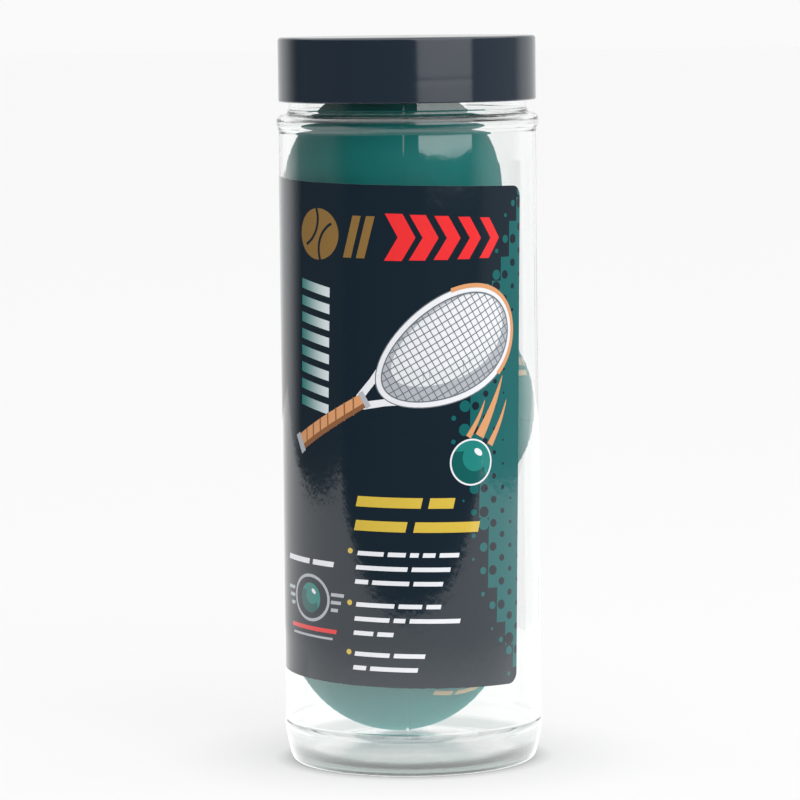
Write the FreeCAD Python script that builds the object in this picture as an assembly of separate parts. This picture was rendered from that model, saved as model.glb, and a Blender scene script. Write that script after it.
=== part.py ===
"""A clear plastic can of three racquetballs, with a screw lid and a film label.

Millimetres. +Z is up the can and the origin is the middle of its foot, on the
surface that it stands on. The label faces -Y, so +X is on the viewer's right.
"""
import FreeCAD
import Part

import math
import os

# ---- driving dimensions ----------------------------------------------------

# racquetballs: 2 1/4 inches across, two rubber half shells bonded at a seam
ball_diameter = 57.15
ball_wall = 3.9
free_play = 0.3                 # gap left round each ball, so that it can roll

# can
can_height = 189.7              # floor to the top of the lid
panel_radius = 33.6             # the straight wall that carries the label
wall = 0.75
shoulder_radius = 34.2          # rounded bead above the label panel
foot_bead_radius = 33.85        # small bead below the label panel
foot_radius = 30.7              # outer edge of the ring that the can stands on
foot_land = 0.8                 # flat width of that ring
heel_height = 7.8               # where the tapered heel meets the panel
foot_bead_z = 10.0
shoulder_z = 167.4              # middle of the shoulder bead

# how the jar's outline bends, as points (out, up) from the place that the note names
foot_edge = ((0.9, 0.35), (1.4, 1.1))               # outer edge of the ring, floor
heel_bulge = (-0.6, 4.4)                            # panel wall, floor
foot_bead_half = 1.1                                # half height of the foot bead outside
foot_bead_half_inside = 1.3
bead_start = (0.0, -2.3)                            # panel wall, middle of the shoulder bead
bead_flare = ((0.09, -1.7), (0.32, -1.15))          # the same
bead_crest = ((0.0, 0.0), (-0.12, 1.15))            # crest of the shoulder bead, its middle
bead_top = ((-0.6, 1.8), (-1.5, 2.2))               # the same
ledge_end = (1.2, 2.4)                              # collar, middle of the shoulder bead
collar_fillet = ((0.55, 2.6), (0.3, 3.0))           # the same
collar_step = ((0.3, 3.4), (0.0, 3.7))              # the same
collar_edge = ((-0.2, -0.2), (-0.6, 0.0))           # collar, its top
collar_edge_start = -0.6
neck_foot = 0.3                                     # where the neck wall starts, above the collar
rim_bevel_outside = 0.25
rim_bevel_inside = 0.2
bore_step = ((0.0, 0.4), (1.0, -1.6))               # bore, top of the collar
bore_throat = ((1.0, 3.4), (1.5, 2.1), (2.7, 1.6))  # bore, middle of the shoulder bead
bead_hollow = ((-0.25, 1.0), (0.0, 0.0))            # inside of the bead's crest, its middle
bead_hollow_end = ((0.2, -1.6), (0.0, -2.5))        # inside of the panel wall, bead's middle
heel_hollow = ((-0.65, 4.4), (-1.65, 1.75))         # inside of the panel wall, floor
foot_hollow = ((-0.5, 1.1), (-1.6, 1.6))            # outer edge of the ring, floor
foot_lip = (29.15, 0.35)                            # radius and height, inner edge of the ring

# push-up base: a shallow dome that the bottom ball sits on
dome_radius = 28.7              # where the dome's underside starts
dome_under_z = 5.2
dome_top_z = 7.1
dome_inner_margin = 0.4         # the dome's inside ends this far short of dome_radius
dome_inner_edge_z = 2.3
base_wall = 1.1
gate_radius = 1.8
gate_length = 1.2
gate_sunk = 0.6                 # how far the gate stub runs up into the dome

# neck and its thread, 6 turns to the inch, one start, right-handed
pitch = 25.4 / 6
collar_radius = 31.0            # plain band of the neck that shows under the lid
collar_top_z = 175.0
bore_radius = 29.0
neck_root_radius = 29.95
neck_crest_radius = 31.2
neck_turns = 1.5
neck_thread_z = 177.2           # middle of the ridge where it starts

# lid
lid_radius = 33.6
lid_height = 16.7
lid_top_wall = 1.5
lid_bore_radius = 31.7
lid_crest_radius = 30.35
lid_turns = 1.25
flank_gap = 0.3                 # axial gap where the two ridges bear
lid_run_up = 0.5                # clear height of the collar's top under the lid's ridge
lid_edge_round = 0.8
lid_bevel = 0.3                 # at the bottom edge, outside
lid_mouth = (0.5, 0.8)          # bevel inside: how wide and how high
liner_radius = 31.3
liner_thickness = 1.1

# thread ridge, the same in neck and lid: wide at its root, narrow at its crest
ridge_root_width = 2.3
ridge_crest_width = 1.0
ridge_sunk = 0.4                # how far the ridge runs into the wall behind it

# label
label_film = 0.12
label_glue = 0.02
label_height = 128.8
label_width = 147.0             # measured round the can
label_right_edge = 55.3         # degrees from the front towards +X
label_middle_z = 87.85          # height of its middle, straight in front
label_tilt = 1.6                # degrees clockwise, as it was applied
label_corner = 3.0

# each ball's seam is tipped a little, as the balls dropped in: degrees about X, Y
seam_tips = {"bottom": (8.0, -5.0), "middle": (-6.0, 9.0), "top": (4.0, 7.0)}

# ---- worked out from them --------------------------------------------------

ball_radius = ball_diameter / 2
inner_radius = panel_radius - wall
lid_bottom_z = can_height - lid_height
lid_under_z = can_height - lid_top_wall
rim_z = lid_under_z - liner_thickness


def cap_radius(width, drop):
    """Radius of the sphere cap that falls by drop over the half width."""
    return (width ** 2 + drop ** 2) / (2 * drop)


label_inner = panel_radius + label_glue
label_slope = math.tan(math.radians(label_tilt))
label_right_mm = math.radians(label_right_edge) * label_inner

# The balls lean on the wall by turns, left, right, left, and rest on each other.
dome_inner_edge = dome_radius - dome_inner_margin
dome_curve = cap_radius(dome_inner_edge, dome_top_z - dome_inner_edge_z)
ball_lean = inner_radius - ball_radius - free_play
ball_rise = math.sqrt((ball_diameter + free_play) ** 2 - (2 * ball_lean) ** 2)
lowest_reach = dome_curve + ball_radius + free_play
bottom_ball_z = dome_top_z - dome_curve + math.sqrt(lowest_reach ** 2 - ball_lean ** 2)
ball_centres = {
    "bottom": (-ball_lean, bottom_ball_z),
    "middle": (ball_lean, bottom_ball_z + ball_rise),
    "top": (-ball_lean, bottom_ball_z + 2 * ball_rise),
}

# ---- helpers ---------------------------------------------------------------


def at(radius, z):
    """A point of a turned outline."""
    return FreeCAD.Vector(radius, 0, z)


def near(radius, z):
    """A function that gives points by their offset (out, up) from this place."""
    return lambda offset: at(radius + offset[0], z + offset[1])


def arc(place, points):
    """The step of a turned outline that follows an arc, from offsets (out, up)."""
    through, end = points
    return place(through), place(end)


def cap_drop(curve, width):
    """How far a sphere cap of this radius has fallen at the half width."""
    return curve - math.sqrt(curve ** 2 - width ** 2)


def turned(start, *steps):
    """Turn a closed outline about the can's axis.

    Each step is a point, for a straight side, or a pair of points, for an arc
    through the first to the second. A straight side closes it if it is open.
    """
    edges = []
    here = start
    for step in steps:
        if isinstance(step, tuple):
            through, there = step
            edges.append(Part.Arc(here, through, there).toShape())
        else:
            there = step
            edges.append(Part.makeLine(here, there))
        here = there
    if here != start:
        edges.append(Part.makeLine(here, start))
    outline = Part.Face(Part.Wire(edges))
    return outline.revolve(FreeCAD.Vector(0, 0, 0), FreeCAD.Vector(0, 0, 1), 360)


def ridge(root, crest, turns, start_z, start_angle):
    """A thread ridge from radius root to radius crest, climbing right-handed."""
    sunk = root + math.copysign(ridge_sunk, root - crest)
    slope = (ridge_root_width - ridge_crest_width) / 2 / abs(crest - root)
    sunk_half = ridge_root_width / 2 + slope * ridge_sunk
    crest_half = ridge_crest_width / 2
    section = Part.makePolygon([
        at(sunk, -sunk_half), at(crest, -crest_half),
        at(crest, crest_half), at(sunk, sunk_half), at(sunk, -sunk_half),
    ])
    path = Part.Wire(Part.makeHelix(pitch, turns * pitch, (root + crest) / 2))
    swept = path.makePipeShell([section], True, True)
    swept.translate(FreeCAD.Vector(0, 0, start_z))
    swept.rotate(FreeCAD.Vector(0, 0, 0), FreeCAD.Vector(0, 0, 1), start_angle)
    return swept


# ---- pieces ----------------------------------------------------------------


def jar_outside():
    """Steps of the jar's outline from the foot ring up to the rim."""
    bead = foot_bead_z
    ring = near(foot_radius, 0)
    panel = near(panel_radius, shoulder_z)
    crest = near(shoulder_radius, shoulder_z)
    collar = near(collar_radius, shoulder_z)
    collar_top = near(collar_radius, collar_top_z)
    return [
        at(foot_radius, 0),
        arc(ring, foot_edge),
        (near(panel_radius, 0)(heel_bulge), at(panel_radius, heel_height)),
        at(panel_radius, bead - foot_bead_half),
        (at(foot_bead_radius, bead), at(panel_radius, bead + foot_bead_half)),
        panel(bead_start),
        arc(panel, bead_flare),
        arc(crest, bead_crest),
        arc(crest, bead_top),
        collar(ledge_end),
        arc(collar, collar_fillet),
        collar(collar_step[0]),
        collar(collar_step[1]),
        at(collar_radius, collar_top_z + collar_edge_start),
        arc(collar_top, collar_edge),
        at(neck_root_radius, collar_top_z + neck_foot),
        at(neck_root_radius, rim_z - rim_bevel_outside),
        at(neck_root_radius - rim_bevel_outside, rim_z),
    ]


def jar_inside():
    """Steps of the jar's outline from the rim down to the middle of the base."""
    bead = foot_bead_z
    half = foot_bead_half_inside
    mid = dome_inner_edge / 2
    mid_z = dome_top_z - cap_drop(dome_curve, mid)
    throat = near(bore_radius, shoulder_z)
    hollow = near(shoulder_radius - wall, shoulder_z)
    return [
        at(bore_radius + rim_bevel_inside, rim_z),
        at(bore_radius, rim_z - rim_bevel_inside),
        near(bore_radius, collar_top_z)(bore_step[0]),
        near(bore_radius, collar_top_z)(bore_step[1]),
        throat(bore_throat[0]),
        arc(throat, bore_throat[1:]),
        arc(hollow, bead_hollow),
        arc(near(inner_radius, shoulder_z), bead_hollow_end),
        at(inner_radius, bead + half),
        (at(foot_bead_radius - wall, bead), at(inner_radius, bead - half)),
        at(inner_radius, heel_height),
        arc(near(inner_radius, 0), heel_hollow),
        arc(near(foot_radius, 0), foot_hollow),
        at(dome_inner_edge, dome_inner_edge_z),
        (at(mid, mid_z), at(0, dome_top_z)),
    ]


def jar():
    """Blown jar: push-up base, heel, label panel, shoulder, threaded neck."""
    start = at(foot_radius - foot_land, 0)
    dome_under = cap_radius(dome_radius, dome_under_z - base_wall)
    mid = dome_radius / 2
    mid_z = dome_under_z - cap_drop(dome_under, mid)
    underside = [
        at(0, dome_under_z),
        (at(mid, mid_z), at(dome_radius, base_wall)),
        (at(*foot_lip), start),
    ]
    body = turned(start, *jar_outside(), *jar_inside(), *underside)
    gate = Part.makeCylinder(gate_radius, gate_length + gate_sunk, at(0, dome_under_z - gate_length))
    thread = ridge(neck_root_radius, neck_crest_radius, neck_turns, neck_thread_z, 0)
    return body.fuse([gate, thread]).removeSplitter()


def lid():
    """Smooth-sided screw lid with its ridge just under the neck's ridge."""
    edge = lid_edge_round
    bend = edge * (1 - math.sqrt(0.5))                      # an eighth of a turn round the edge
    mouth_wide, mouth_high = lid_mouth
    shell = turned(
        at(0, can_height),
        at(lid_radius - edge, can_height),
        (at(lid_radius - bend, can_height - bend), at(lid_radius, can_height - edge)),
        at(lid_radius, lid_bottom_z + lid_bevel),
        at(lid_radius - lid_bevel, lid_bottom_z),
        at(lid_bore_radius + mouth_wide, lid_bottom_z),
        at(lid_bore_radius, lid_bottom_z + mouth_high),
        at(lid_bore_radius, lid_under_z),
        at(0, lid_under_z),
    )
    below = (ridge_root_width + ridge_crest_width) / 2 + flank_gap      # from ridge to ridge
    start_z = collar_top_z + ridge_root_width / 2 + lid_run_up
    start_angle = 360 * (start_z - neck_thread_z + below) / pitch
    thread = ridge(lid_bore_radius, lid_crest_radius, lid_turns, start_z, start_angle)
    return shell.fuse(thread).removeSplitter()


def lid_liner():
    """Foam disc that seals the rim, held up inside the lid."""
    return Part.makeCylinder(liner_radius, liner_thickness, at(0, rim_z))


def end_trim(side):
    """What to cut from the wrapped band to square off one end and round its corners."""
    c = label_corner
    half_h = label_height / 2
    deep = 4 * label_film
    beyond = Part.makeBox(2 * c, deep, label_height + 4 * c, FreeCAD.Vector(0, -deep / 2, -half_h - 2 * c))
    tools = [beyond]
    for up in (1, -1):
        corner = Part.makeBox(2 * c, deep, 2 * c, FreeCAD.Vector(-c, -deep / 2, up * half_h - c))
        centre = FreeCAD.Vector(-c, -deep, up * (half_h - c))
        rounding = Part.makeCylinder(c, 2 * deep, centre, FreeCAD.Vector(0, 1, 0))
        tools.append(corner.cut(rounding))
    if side < 0:
        tools = [tool.mirror(FreeCAD.Vector(0, 0, 0), FreeCAD.Vector(1, 0, 0)) for tool in tools]
    along = label_right_mm - (label_width if side < 0 else 0)
    for tool in tools:
        tool.rotate(FreeCAD.Vector(0, 0, 0), FreeCAD.Vector(0, 1, 0), label_tilt)
        tool.translate(FreeCAD.Vector(0, -label_inner, label_middle_z - along * label_slope))
        tool.rotate(FreeCAD.Vector(0, 0, 0), FreeCAD.Vector(0, 0, 1), math.degrees(along / label_inner))
    return tools


def label():
    """Film wrapped round the panel, a little askew, with rounded corners."""
    spare = label_corner                                    # extra at each end, trimmed off
    rise = 2 * math.pi * label_inner * label_slope
    length = label_width + 2 * spare
    half_h = label_height / 2 / math.cos(math.radians(label_tilt))
    outer = label_inner + label_film
    section = Part.makePolygon([
        at(label_inner, -half_h), at(outer, -half_h),
        at(outer, half_h), at(label_inner, half_h), at(label_inner, -half_h),
    ])
    path = Part.makeHelix(rise, length * label_slope, label_inner, 0, True)
    band = Part.Wire(path).makePipeShell([section], True, True)
    start = label_right_mm + spare
    band.rotate(FreeCAD.Vector(0, 0, 0), FreeCAD.Vector(0, 0, 1), math.degrees(start / label_inner) - 90)
    band.translate(FreeCAD.Vector(0, 0, label_middle_z - start * label_slope))
    return band.cut(end_trim(1) + end_trim(-1))


def ball_half(name, side):
    """One moulded half shell of a ball, tipped with its seam and set in place."""
    whole = Part.makeSphere(ball_radius).cut(Part.makeSphere(ball_radius - ball_wall))
    block = Part.makeBox(ball_diameter, ball_diameter, ball_radius)
    block.translate(FreeCAD.Vector(-ball_radius, -ball_radius, 0 if side == "upper" else -ball_radius))
    half = whole.common(block)
    tip_x, tip_y = seam_tips[name]
    half.rotate(FreeCAD.Vector(0, 0, 0), FreeCAD.Vector(1, 0, 0), tip_x)
    half.rotate(FreeCAD.Vector(0, 0, 0), FreeCAD.Vector(0, 1, 0), tip_y)
    x, z = ball_centres[name]
    half.translate(FreeCAD.Vector(x, 0, z))
    return half


# ---- write every piece -----------------------------------------------------

pieces = {"jar": jar(), "lid": lid(), "lid_liner": lid_liner(), "label": label()}
for ball in ball_centres:
    for side in ("upper", "lower"):
        pieces[f"{ball}_ball_{side}_half"] = ball_half(ball, side)

os.makedirs("parts", exist_ok=True)
for node, shape in pieces.items():
    if len(shape.Solids) != 1:
        raise RuntimeError(f"{node} is not one solid")
    shape = shape.Solids[0]
    shape.exportStep(f"parts/{node}.step")
    box = shape.BoundBox
    print(f"{node:24s} solids {len(shape.Solids)} valid {shape.isValid()} volume {shape.Volume:9.1f}"
          f"  z {box.ZMin:7.2f} to {box.ZMax:7.2f}  x {box.XMin:7.2f} to {box.XMax:7.2f}")
print("ball centres (x, z):", {name: (round(x, 3), round(z, 3)) for name, (x, z) in ball_centres.items()})
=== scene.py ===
from math import atan2, ceil, cos, degrees, dist, exp, hypot, pi, radians, sin, sqrt, tan, tau

import bmesh
import bpy
from mathutils import Matrix, Vector


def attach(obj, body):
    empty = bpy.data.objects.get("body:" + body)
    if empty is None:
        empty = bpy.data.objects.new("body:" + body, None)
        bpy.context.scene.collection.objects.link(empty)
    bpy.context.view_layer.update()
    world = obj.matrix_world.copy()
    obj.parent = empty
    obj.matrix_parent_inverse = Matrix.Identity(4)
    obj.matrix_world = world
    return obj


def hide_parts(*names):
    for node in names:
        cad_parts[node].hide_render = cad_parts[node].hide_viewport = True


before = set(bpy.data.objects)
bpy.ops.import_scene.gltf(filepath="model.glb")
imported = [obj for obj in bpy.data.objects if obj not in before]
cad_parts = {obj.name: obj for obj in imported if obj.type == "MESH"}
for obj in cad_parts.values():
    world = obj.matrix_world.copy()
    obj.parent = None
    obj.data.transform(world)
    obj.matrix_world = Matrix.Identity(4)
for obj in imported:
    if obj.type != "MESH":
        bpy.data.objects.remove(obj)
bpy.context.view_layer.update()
mm = 0.001
print("frame loaded,", len(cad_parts), "nodes")

# helpers that turn outlines into meshes


def arcPoints(start, through, end, count):
    ax, ay = start
    bx, by = through
    cx, cy = end
    d = 2 * (ax * (by - cy) + bx * (cy - ay) + cx * (ay - by))
    a2, b2, c2 = ax * ax + ay * ay, bx * bx + by * by, cx * cx + cy * cy
    ux = (a2 * (by - cy) + b2 * (cy - ay) + c2 * (ay - by)) / d
    uy = (a2 * (cx - bx) + b2 * (ax - cx) + c2 * (bx - ax)) / d
    radius = hypot(ax - ux, ay - uy)
    first = atan2(ay - uy, ax - ux)
    middle = (atan2(by - uy, bx - ux) - first) % tau
    last = (atan2(cy - uy, cx - ux) - first) % tau
    if middle > last:
        last -= tau
    turns = [first + last * i / count for i in range(1, count + 1)]
    return [(ux + radius * cos(t), uy + radius * sin(t)) for t in turns]


def outline(start, *steps, count=8):  # a step is a point, or (through, end) for an arc
    points = [start]
    for step in steps:
        if isinstance(step[0], tuple):
            points += arcPoints(points[-1], step[0], step[1], count)
        else:
            points.append(step)
    return points


def dense(points, longest):  # splits the long straight runs
    out = [points[0]]
    for a, b in zip(points, points[1:]):
        n = max(1, ceil(dist(a, b) / longest))
        out += [(a[0] + (b[0] - a[0]) * i / n, a[1] + (b[1] - a[1]) * i / n) for i in range(1, n + 1)]
    return out


def evenly(count):  # degrees round the axis
    return [i * 360 / count for i in range(count)]


def turned(points, columns, raised=None):  # points in mm from axis to axis, columns in degrees
    mesh = bmesh.new()
    rings = []
    for i, (r, z) in enumerate(points):
        if r < 1e-6:
            rings.append([mesh.verts.new((0, 0, z * mm))])
            continue
        ring = []
        for a in columns:
            out, t = (r + (raised(a, r, z, i) if raised else 0)) * mm, radians(a)
            ring.append(mesh.verts.new((out * cos(t), out * sin(t), z * mm)))
        rings.append(ring)
    n = len(columns)
    for low, high in zip(rings, rings[1:]):
        for k in range(n):
            j = (k + 1) % n
            if len(low) == 1:
                mesh.faces.new((low[0], high[j], high[k]))
            elif len(high) == 1:
                mesh.faces.new((low[k], low[j], high[0]))
            else:
                mesh.faces.new((low[k], low[j], high[j], high[k]))
    return mesh


def cleaned(mesh):
    bmesh.ops.remove_doubles(mesh, verts=mesh.verts, dist=1e-7)
    bmesh.ops.recalc_face_normals(mesh, faces=mesh.faces)


def meshData(name, mesh):
    data = bpy.data.meshes.new(name)
    mesh.to_mesh(data)
    mesh.free()
    return data


def linked(name, data, hidden=()):  # hidden names the rays that pass the object by
    made = bpy.data.objects.new(name, data)
    bpy.context.scene.collection.objects.link(made)
    for ray in hidden:
        setattr(made, "visible_" + ray, False)
    return made


def evaluated(holder):
    data = bpy.data.meshes.new_from_object(holder.evaluated_get(bpy.context.evaluated_depsgraph_get()))
    mesh = bmesh.new()
    mesh.from_mesh(data)
    bpy.data.meshes.remove(data)
    return mesh


def piece(name, mesh, *materials, body, slot, crease=35, replaces=()):  # edges sharper than crease stay sharp
    cleaned(mesh)
    for face in mesh.faces:
        face.smooth = True
    for edge in mesh.edges:
        if len(edge.link_faces) == 2:
            edge.smooth = edge.calc_face_angle(0) < radians(crease)
    made = linked(name, meshData(name, mesh))
    for material in materials:
        made.data.materials.append(material)
    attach(made, body)
    if replaces:
        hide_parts(*replaces)


# helpers for shader and geometry nodes


# a kind without Node in it is a shader node, and an input is a value, or the node or output that feeds it
def addNode(tree, kind, settings=None, **inputs):
    made = tree.nodes.new(kind if "Node" in kind else "ShaderNode" + kind)
    for key, value in (settings or {}).items():
        setattr(made, key, value)
    for key, value in inputs.items():
        index = key[1:] if key.startswith("i") and key[1:].isdigit() else None
        socket = made.inputs[int(index)] if index else made.inputs[key.replace("_", " ")]
        value = value.outputs[0] if isinstance(value, bpy.types.Node) else value
        if isinstance(value, bpy.types.NodeSocket):
            tree.links.new(value, socket)
        else:
            socket.default_value = value
    return made


def calc(tree, operation, a, b=0.0):
    return addNode(tree, "Math", {"operation": operation}, i0=a, i1=b)


def highest(tree, value, *others):
    for other in others:
        value = calc(tree, "MAXIMUM", value, other)
    return value


def choose(tree, flag, otherwise, chosen):
    return addNode(tree, "Mix", {"data_type": "FLOAT"}, i0=flag, i2=otherwise, i3=chosen)


def newMaterial(name):
    made = bpy.data.materials.new(name)
    made.use_nodes = True
    made.node_tree.nodes.clear()
    return made, made.node_tree


def objectPoint(tree, scale=(1, 1, 1)):
    place = addNode(tree, "TexCoord").outputs["Object"]
    return addNode(tree, "Mapping", Vector=place, Scale=scale)


def coordinate(tree, axis):
    return addNode(tree, "SeparateXYZ", Vector=objectPoint(tree)).outputs[axis]


def fromAxis(tree):  # distance from the can's axis
    flat = objectPoint(tree, (1, 1, 0))
    return addNode(tree, "VectorMath", {"operation": "LENGTH"}, i0=flat).outputs["Value"]


def grain(tree, scale, detail, stretch=(1, 1, 1), roughness=0.5):
    return addNode(tree, "TexNoise", Vector=objectPoint(tree, stretch), Scale=scale, Detail=detail,
                   Roughness=roughness)


def between(tree, value, low, high, start=0.0, end=1.0):
    return addNode(tree, "MapRange", i0=value, i1=start, i2=end, i3=low, i4=high)


def smoothly(tree, value, start, end, low, high):
    made = between(tree, value, low, high, start, end)
    made.interpolation_type = "SMOOTHSTEP"
    return made


def blendColours(tree, factor, a, b):
    return addNode(tree, "Mix", {"data_type": "RGBA"}, i0=factor, i6=(*a, 1), i7=(*b, 1)).outputs[2]


def bumps(tree, *layers):  # layers of (height, distance in mm), each on top of the last
    below = {}
    for height, distance in layers:
        made = addNode(tree, "Bump", Height=height, Distance=distance * mm, Strength=1.0, **below)
        below = {"Normal": made}
    return made


def surface(tree, shader):
    addNode(tree, "OutputMaterial", Surface=shader)


def finished(material, tree, **inputs):
    surface(tree, addNode(tree, "BsdfPrincipled", **inputs))
    return material


def glowing(tree, strength):
    return addNode(tree, "Emission", Color=(1, 1, 1, 1), Strength=strength)


# bump heights in mm, foot as (share of depth, colour) going up from the floor, a painted shade that darkens
# the foot in bands
clearLook = {
    "ior": 1.57, "tint": (0.985, 0.997, 0.992), "roughness": 0.015, "streak": 0.014, "ripple": 0.02,
    "fine": 0.002, "shadow": (0.94, 0.955, 0.95),
}
baseLook = {
    **clearLook, "tint": (0.985, 0.997, 0.990), "roughness": 0.17, "streak": 0.008, "ripple": 0.14,
    "fine": 0.012, "inside": 0.0285, "depth": 0.01,
    # painted shade: these colours darken the foot near the floor, where its contact shadow falls
    "foot": [
        (0.11, (0.24, 0.30, 0.28)), (0.19, (0.97, 0.985, 0.98)), (0.27, (0.68, 0.73, 0.71)),
        (0.46, (0.72, 0.76, 0.74)), (0.60, (0.985, 0.997, 0.990))],
}


def clearPlastic(name, look):
    material, tree = newMaterial(name)
    streaks = grain(tree, 420, 2, (1, 1, 0.05))  # flow lines up the blown wall
    ripple = grain(tree, 70, 2, (1, 1, 0.5))
    fine = grain(tree, 900, 2, (1, 1, 0.6))
    normal = bumps(tree, (streaks, look["streak"]), (ripple, look["ripple"]), (fine, look["fine"]))
    tint = (*look["tint"], 1)
    if "foot" in look:  # painted shade: the foot's tint darkens in bands near the floor, standing in for its contact shadow; the push-up inside it stays clear
        pushUp = calc(tree, "LESS_THAN", fromAxis(tree), look["inside"])
        height = between(tree, coordinate(tree, "Z"), 0.0, 1.0, 0.0, look["depth"])
        footShade = addNode(tree, "ValToRGB", Fac=highest(tree, pushUp, height))
        for place, colour in look["foot"]:
            footShade.color_ramp.elements.new(place).color = (*colour, 1)
        for end in (0, -1):
            footShade.color_ramp.elements[end].color = (*look["foot"][end][1], 1)
        tint = footShade
    clear = addNode(tree, "BsdfPrincipled", Base_Color=tint, Roughness=look["roughness"],
                    IOR=look["ior"], Transmission_Weight=1.0, Normal=normal)
    shadow = addNode(tree, "LightPath").outputs["Is Shadow Ray"]
    through = addNode(tree, "BsdfTransparent", Color=(*look["shadow"], 1))
    surface(tree, addNode(tree, "MixShader", i0=shadow, i1=clear, i2=through))
    return material


lidLook = {
    "colour": (0.0118, 0.0195, 0.0300), "roughness": (0.10, 0.15), "ior": 1.5, "orangePeel": 0.004,
    "scratch": 0.0015,
}


def lidPlastic():
    material, tree = newMaterial("lid_plastic")
    rough = between(tree, grain(tree, 180, 6), *lidLook["roughness"])  # rubbed patches
    scratches = grain(tree, 900, 3, (1, 1, 0.06))
    normal = bumps(tree, (grain(tree, 700, 2), lidLook["orangePeel"]), (scratches, lidLook["scratch"]))
    return finished(material, tree, Base_Color=(*lidLook["colour"], 1), Roughness=rough, IOR=lidLook["ior"],
                    Normal=normal)


foamLook = {
    "dark": (0.80, 0.80, 0.77), "light": (0.88, 0.88, 0.85), "roughness": 0.75, "cells": 2600.0,
    "pore": 0.03,
}


def foam():
    material, tree = newMaterial("liner_foam")
    cells = addNode(tree, "TexVoronoi", Vector=objectPoint(tree), Scale=foamLook["cells"])
    colour = blendColours(tree, grain(tree, 500, 4), foamLook["dark"], foamLook["light"])
    return finished(material, tree, Base_Color=colour, Roughness=foamLook["roughness"],
                    Normal=bumps(tree, (cells, foamLook["pore"])))


ballLook = {
    "dark": (0.0016, 0.128, 0.120), "light": (0.0040, 0.165, 0.156), "roughness": (0.5, 0.68), "ior": 1.25,
    "nap": 0.02, "unevenness": 0.015,
}


def ballRubber():
    material, tree = newMaterial("ball_rubber")
    cloud = grain(tree, 90, 5, roughness=0.6)
    colour = blendColours(tree, cloud, ballLook["dark"], ballLook["light"])
    rough = between(tree, grain(tree, 300, 3), *ballLook["roughness"])
    nap, uneven = grain(tree, 2400, 2), grain(tree, 320, 3)
    normal = bumps(tree, (nap, ballLook["nap"]), (uneven, ballLook["unevenness"]))
    return finished(material, tree, Base_Color=colour, Roughness=rough, IOR=ballLook["ior"], Normal=normal)


filmLook = {
    "navy": (0.0072, 0.0150, 0.0232), "back": (0.70, 0.71, 0.72), "backRoughness": 0.3, "roughness": 0.07,
    "ior": 1.5, "wrinkle": 0.09, "peel": 0.016, "darker": 0.93,
}
dashFade = {"from": -0.0285, "to": -0.0205, "teal": (0.012, 0.150, 0.140), "silver": (0.54, 0.59, 0.61)}


def filmGloss(name, colour, roughness=filmLook["roughness"]):  # one finish for the film and each ink on it
    material, tree = newMaterial(name)
    wrinkles = grain(tree, 45, 2, (1, 1, 0.6))
    peel = grain(tree, 900, 2, (1, 1, 0.5))
    normal = bumps(tree, (wrinkles, filmLook["wrinkle"]), (peel, filmLook["peel"]))
    if callable(colour):
        colour = colour(tree)
    else:
        darker = tuple(filmLook["darker"] * c for c in colour)
        colour = blendColours(tree, grain(tree, 600, 3), darker, colour)
    return finished(material, tree, Base_Color=colour, Roughness=roughness, IOR=filmLook["ior"],
                    Normal=normal)


def fadeColour(tree):  # teal to silver across the slanted dashes
    share = smoothly(tree, coordinate(tree, "X"), dashFade["from"], dashFade["to"], 0.0, 1.0)
    return blendColours(tree, share, dashFade["teal"], dashFade["silver"])


inkColours = {
    "gold": (0.205, 0.118, 0.036), "red": (0.66, 0.027, 0.030), "yellow": (0.53, 0.38, 0.052),
    "white": (0.65, 0.66, 0.69), "pearl": (0.62, 0.64, 0.66), "silver": (0.36, 0.38, 0.41),
    "steel": (0.13, 0.145, 0.16), "tan": (0.56, 0.27, 0.125), "brown": (0.22, 0.095, 0.042),
    "teal": (0.014, 0.178, 0.158), "screen": (0.0075, 0.100, 0.102), "deepTeal": (0.006, 0.085, 0.080),
    "navy": filmLook["navy"], "markGold": (0.36, 0.27, 0.15), "fade": fadeColour,
}
clear = clearPlastic("clear_wall", clearLook)
clearBase = clearPlastic("clear_base", baseLook)
lidBlack = lidPlastic()
linerWhite = foam()
rubber = ballRubber()
navyFilm = filmGloss("label_navy", filmLook["navy"])
filmBack = filmGloss("label_back", filmLook["back"], filmLook["backRoughness"])
inks = {name: filmGloss("ink_" + name, colour) for name, colour in inkColours.items()}
print("materials made")


def newTree(name, **inputs):  # each input's kind follows from its first value
    tree = bpy.data.node_groups.new(name, "GeometryNodeTree")
    kinds = {float: "Float", int: "Int", bool: "Bool", type(None): "Material"}
    for label, value in inputs.items():
        kind = "NodeSocket" + kinds[type(value)]
        item = tree.interface.new_socket(label.replace("_", " "), in_out="INPUT", socket_type=kind)
        if value is not None:
            item.default_value = value
    tree.interface.new_socket("Geometry", in_out="OUTPUT", socket_type="NodeSocketGeometry")
    return tree, tree.nodes.new("NodeGroupInput").outputs


def endTree(tree, geometry, material):
    real = addNode(tree, "GeometryNodeRealizeInstances", i0=geometry)
    painted = addNode(tree, "GeometryNodeSetMaterial", Geometry=real, Material=material)
    addNode(tree, "NodeGroupOutput", i0=painted)


def runTree(tree, **values):
    holder = linked(tree.name, bpy.data.meshes.new(tree.name))
    modifier = holder.modifiers.new("nodes", "NODES")
    modifier.node_group = tree
    sockets = {item.name: item.identifier for item in tree.interface.items_tree if item.in_out == "INPUT"}
    for label, value in values.items():
        modifier[sockets[label.replace("_", " ")]] = value
    holder.data.update()
    mesh = evaluated(holder)
    holder.modifiers.remove(modifier)
    bpy.data.objects.remove(holder)
    return mesh


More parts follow.
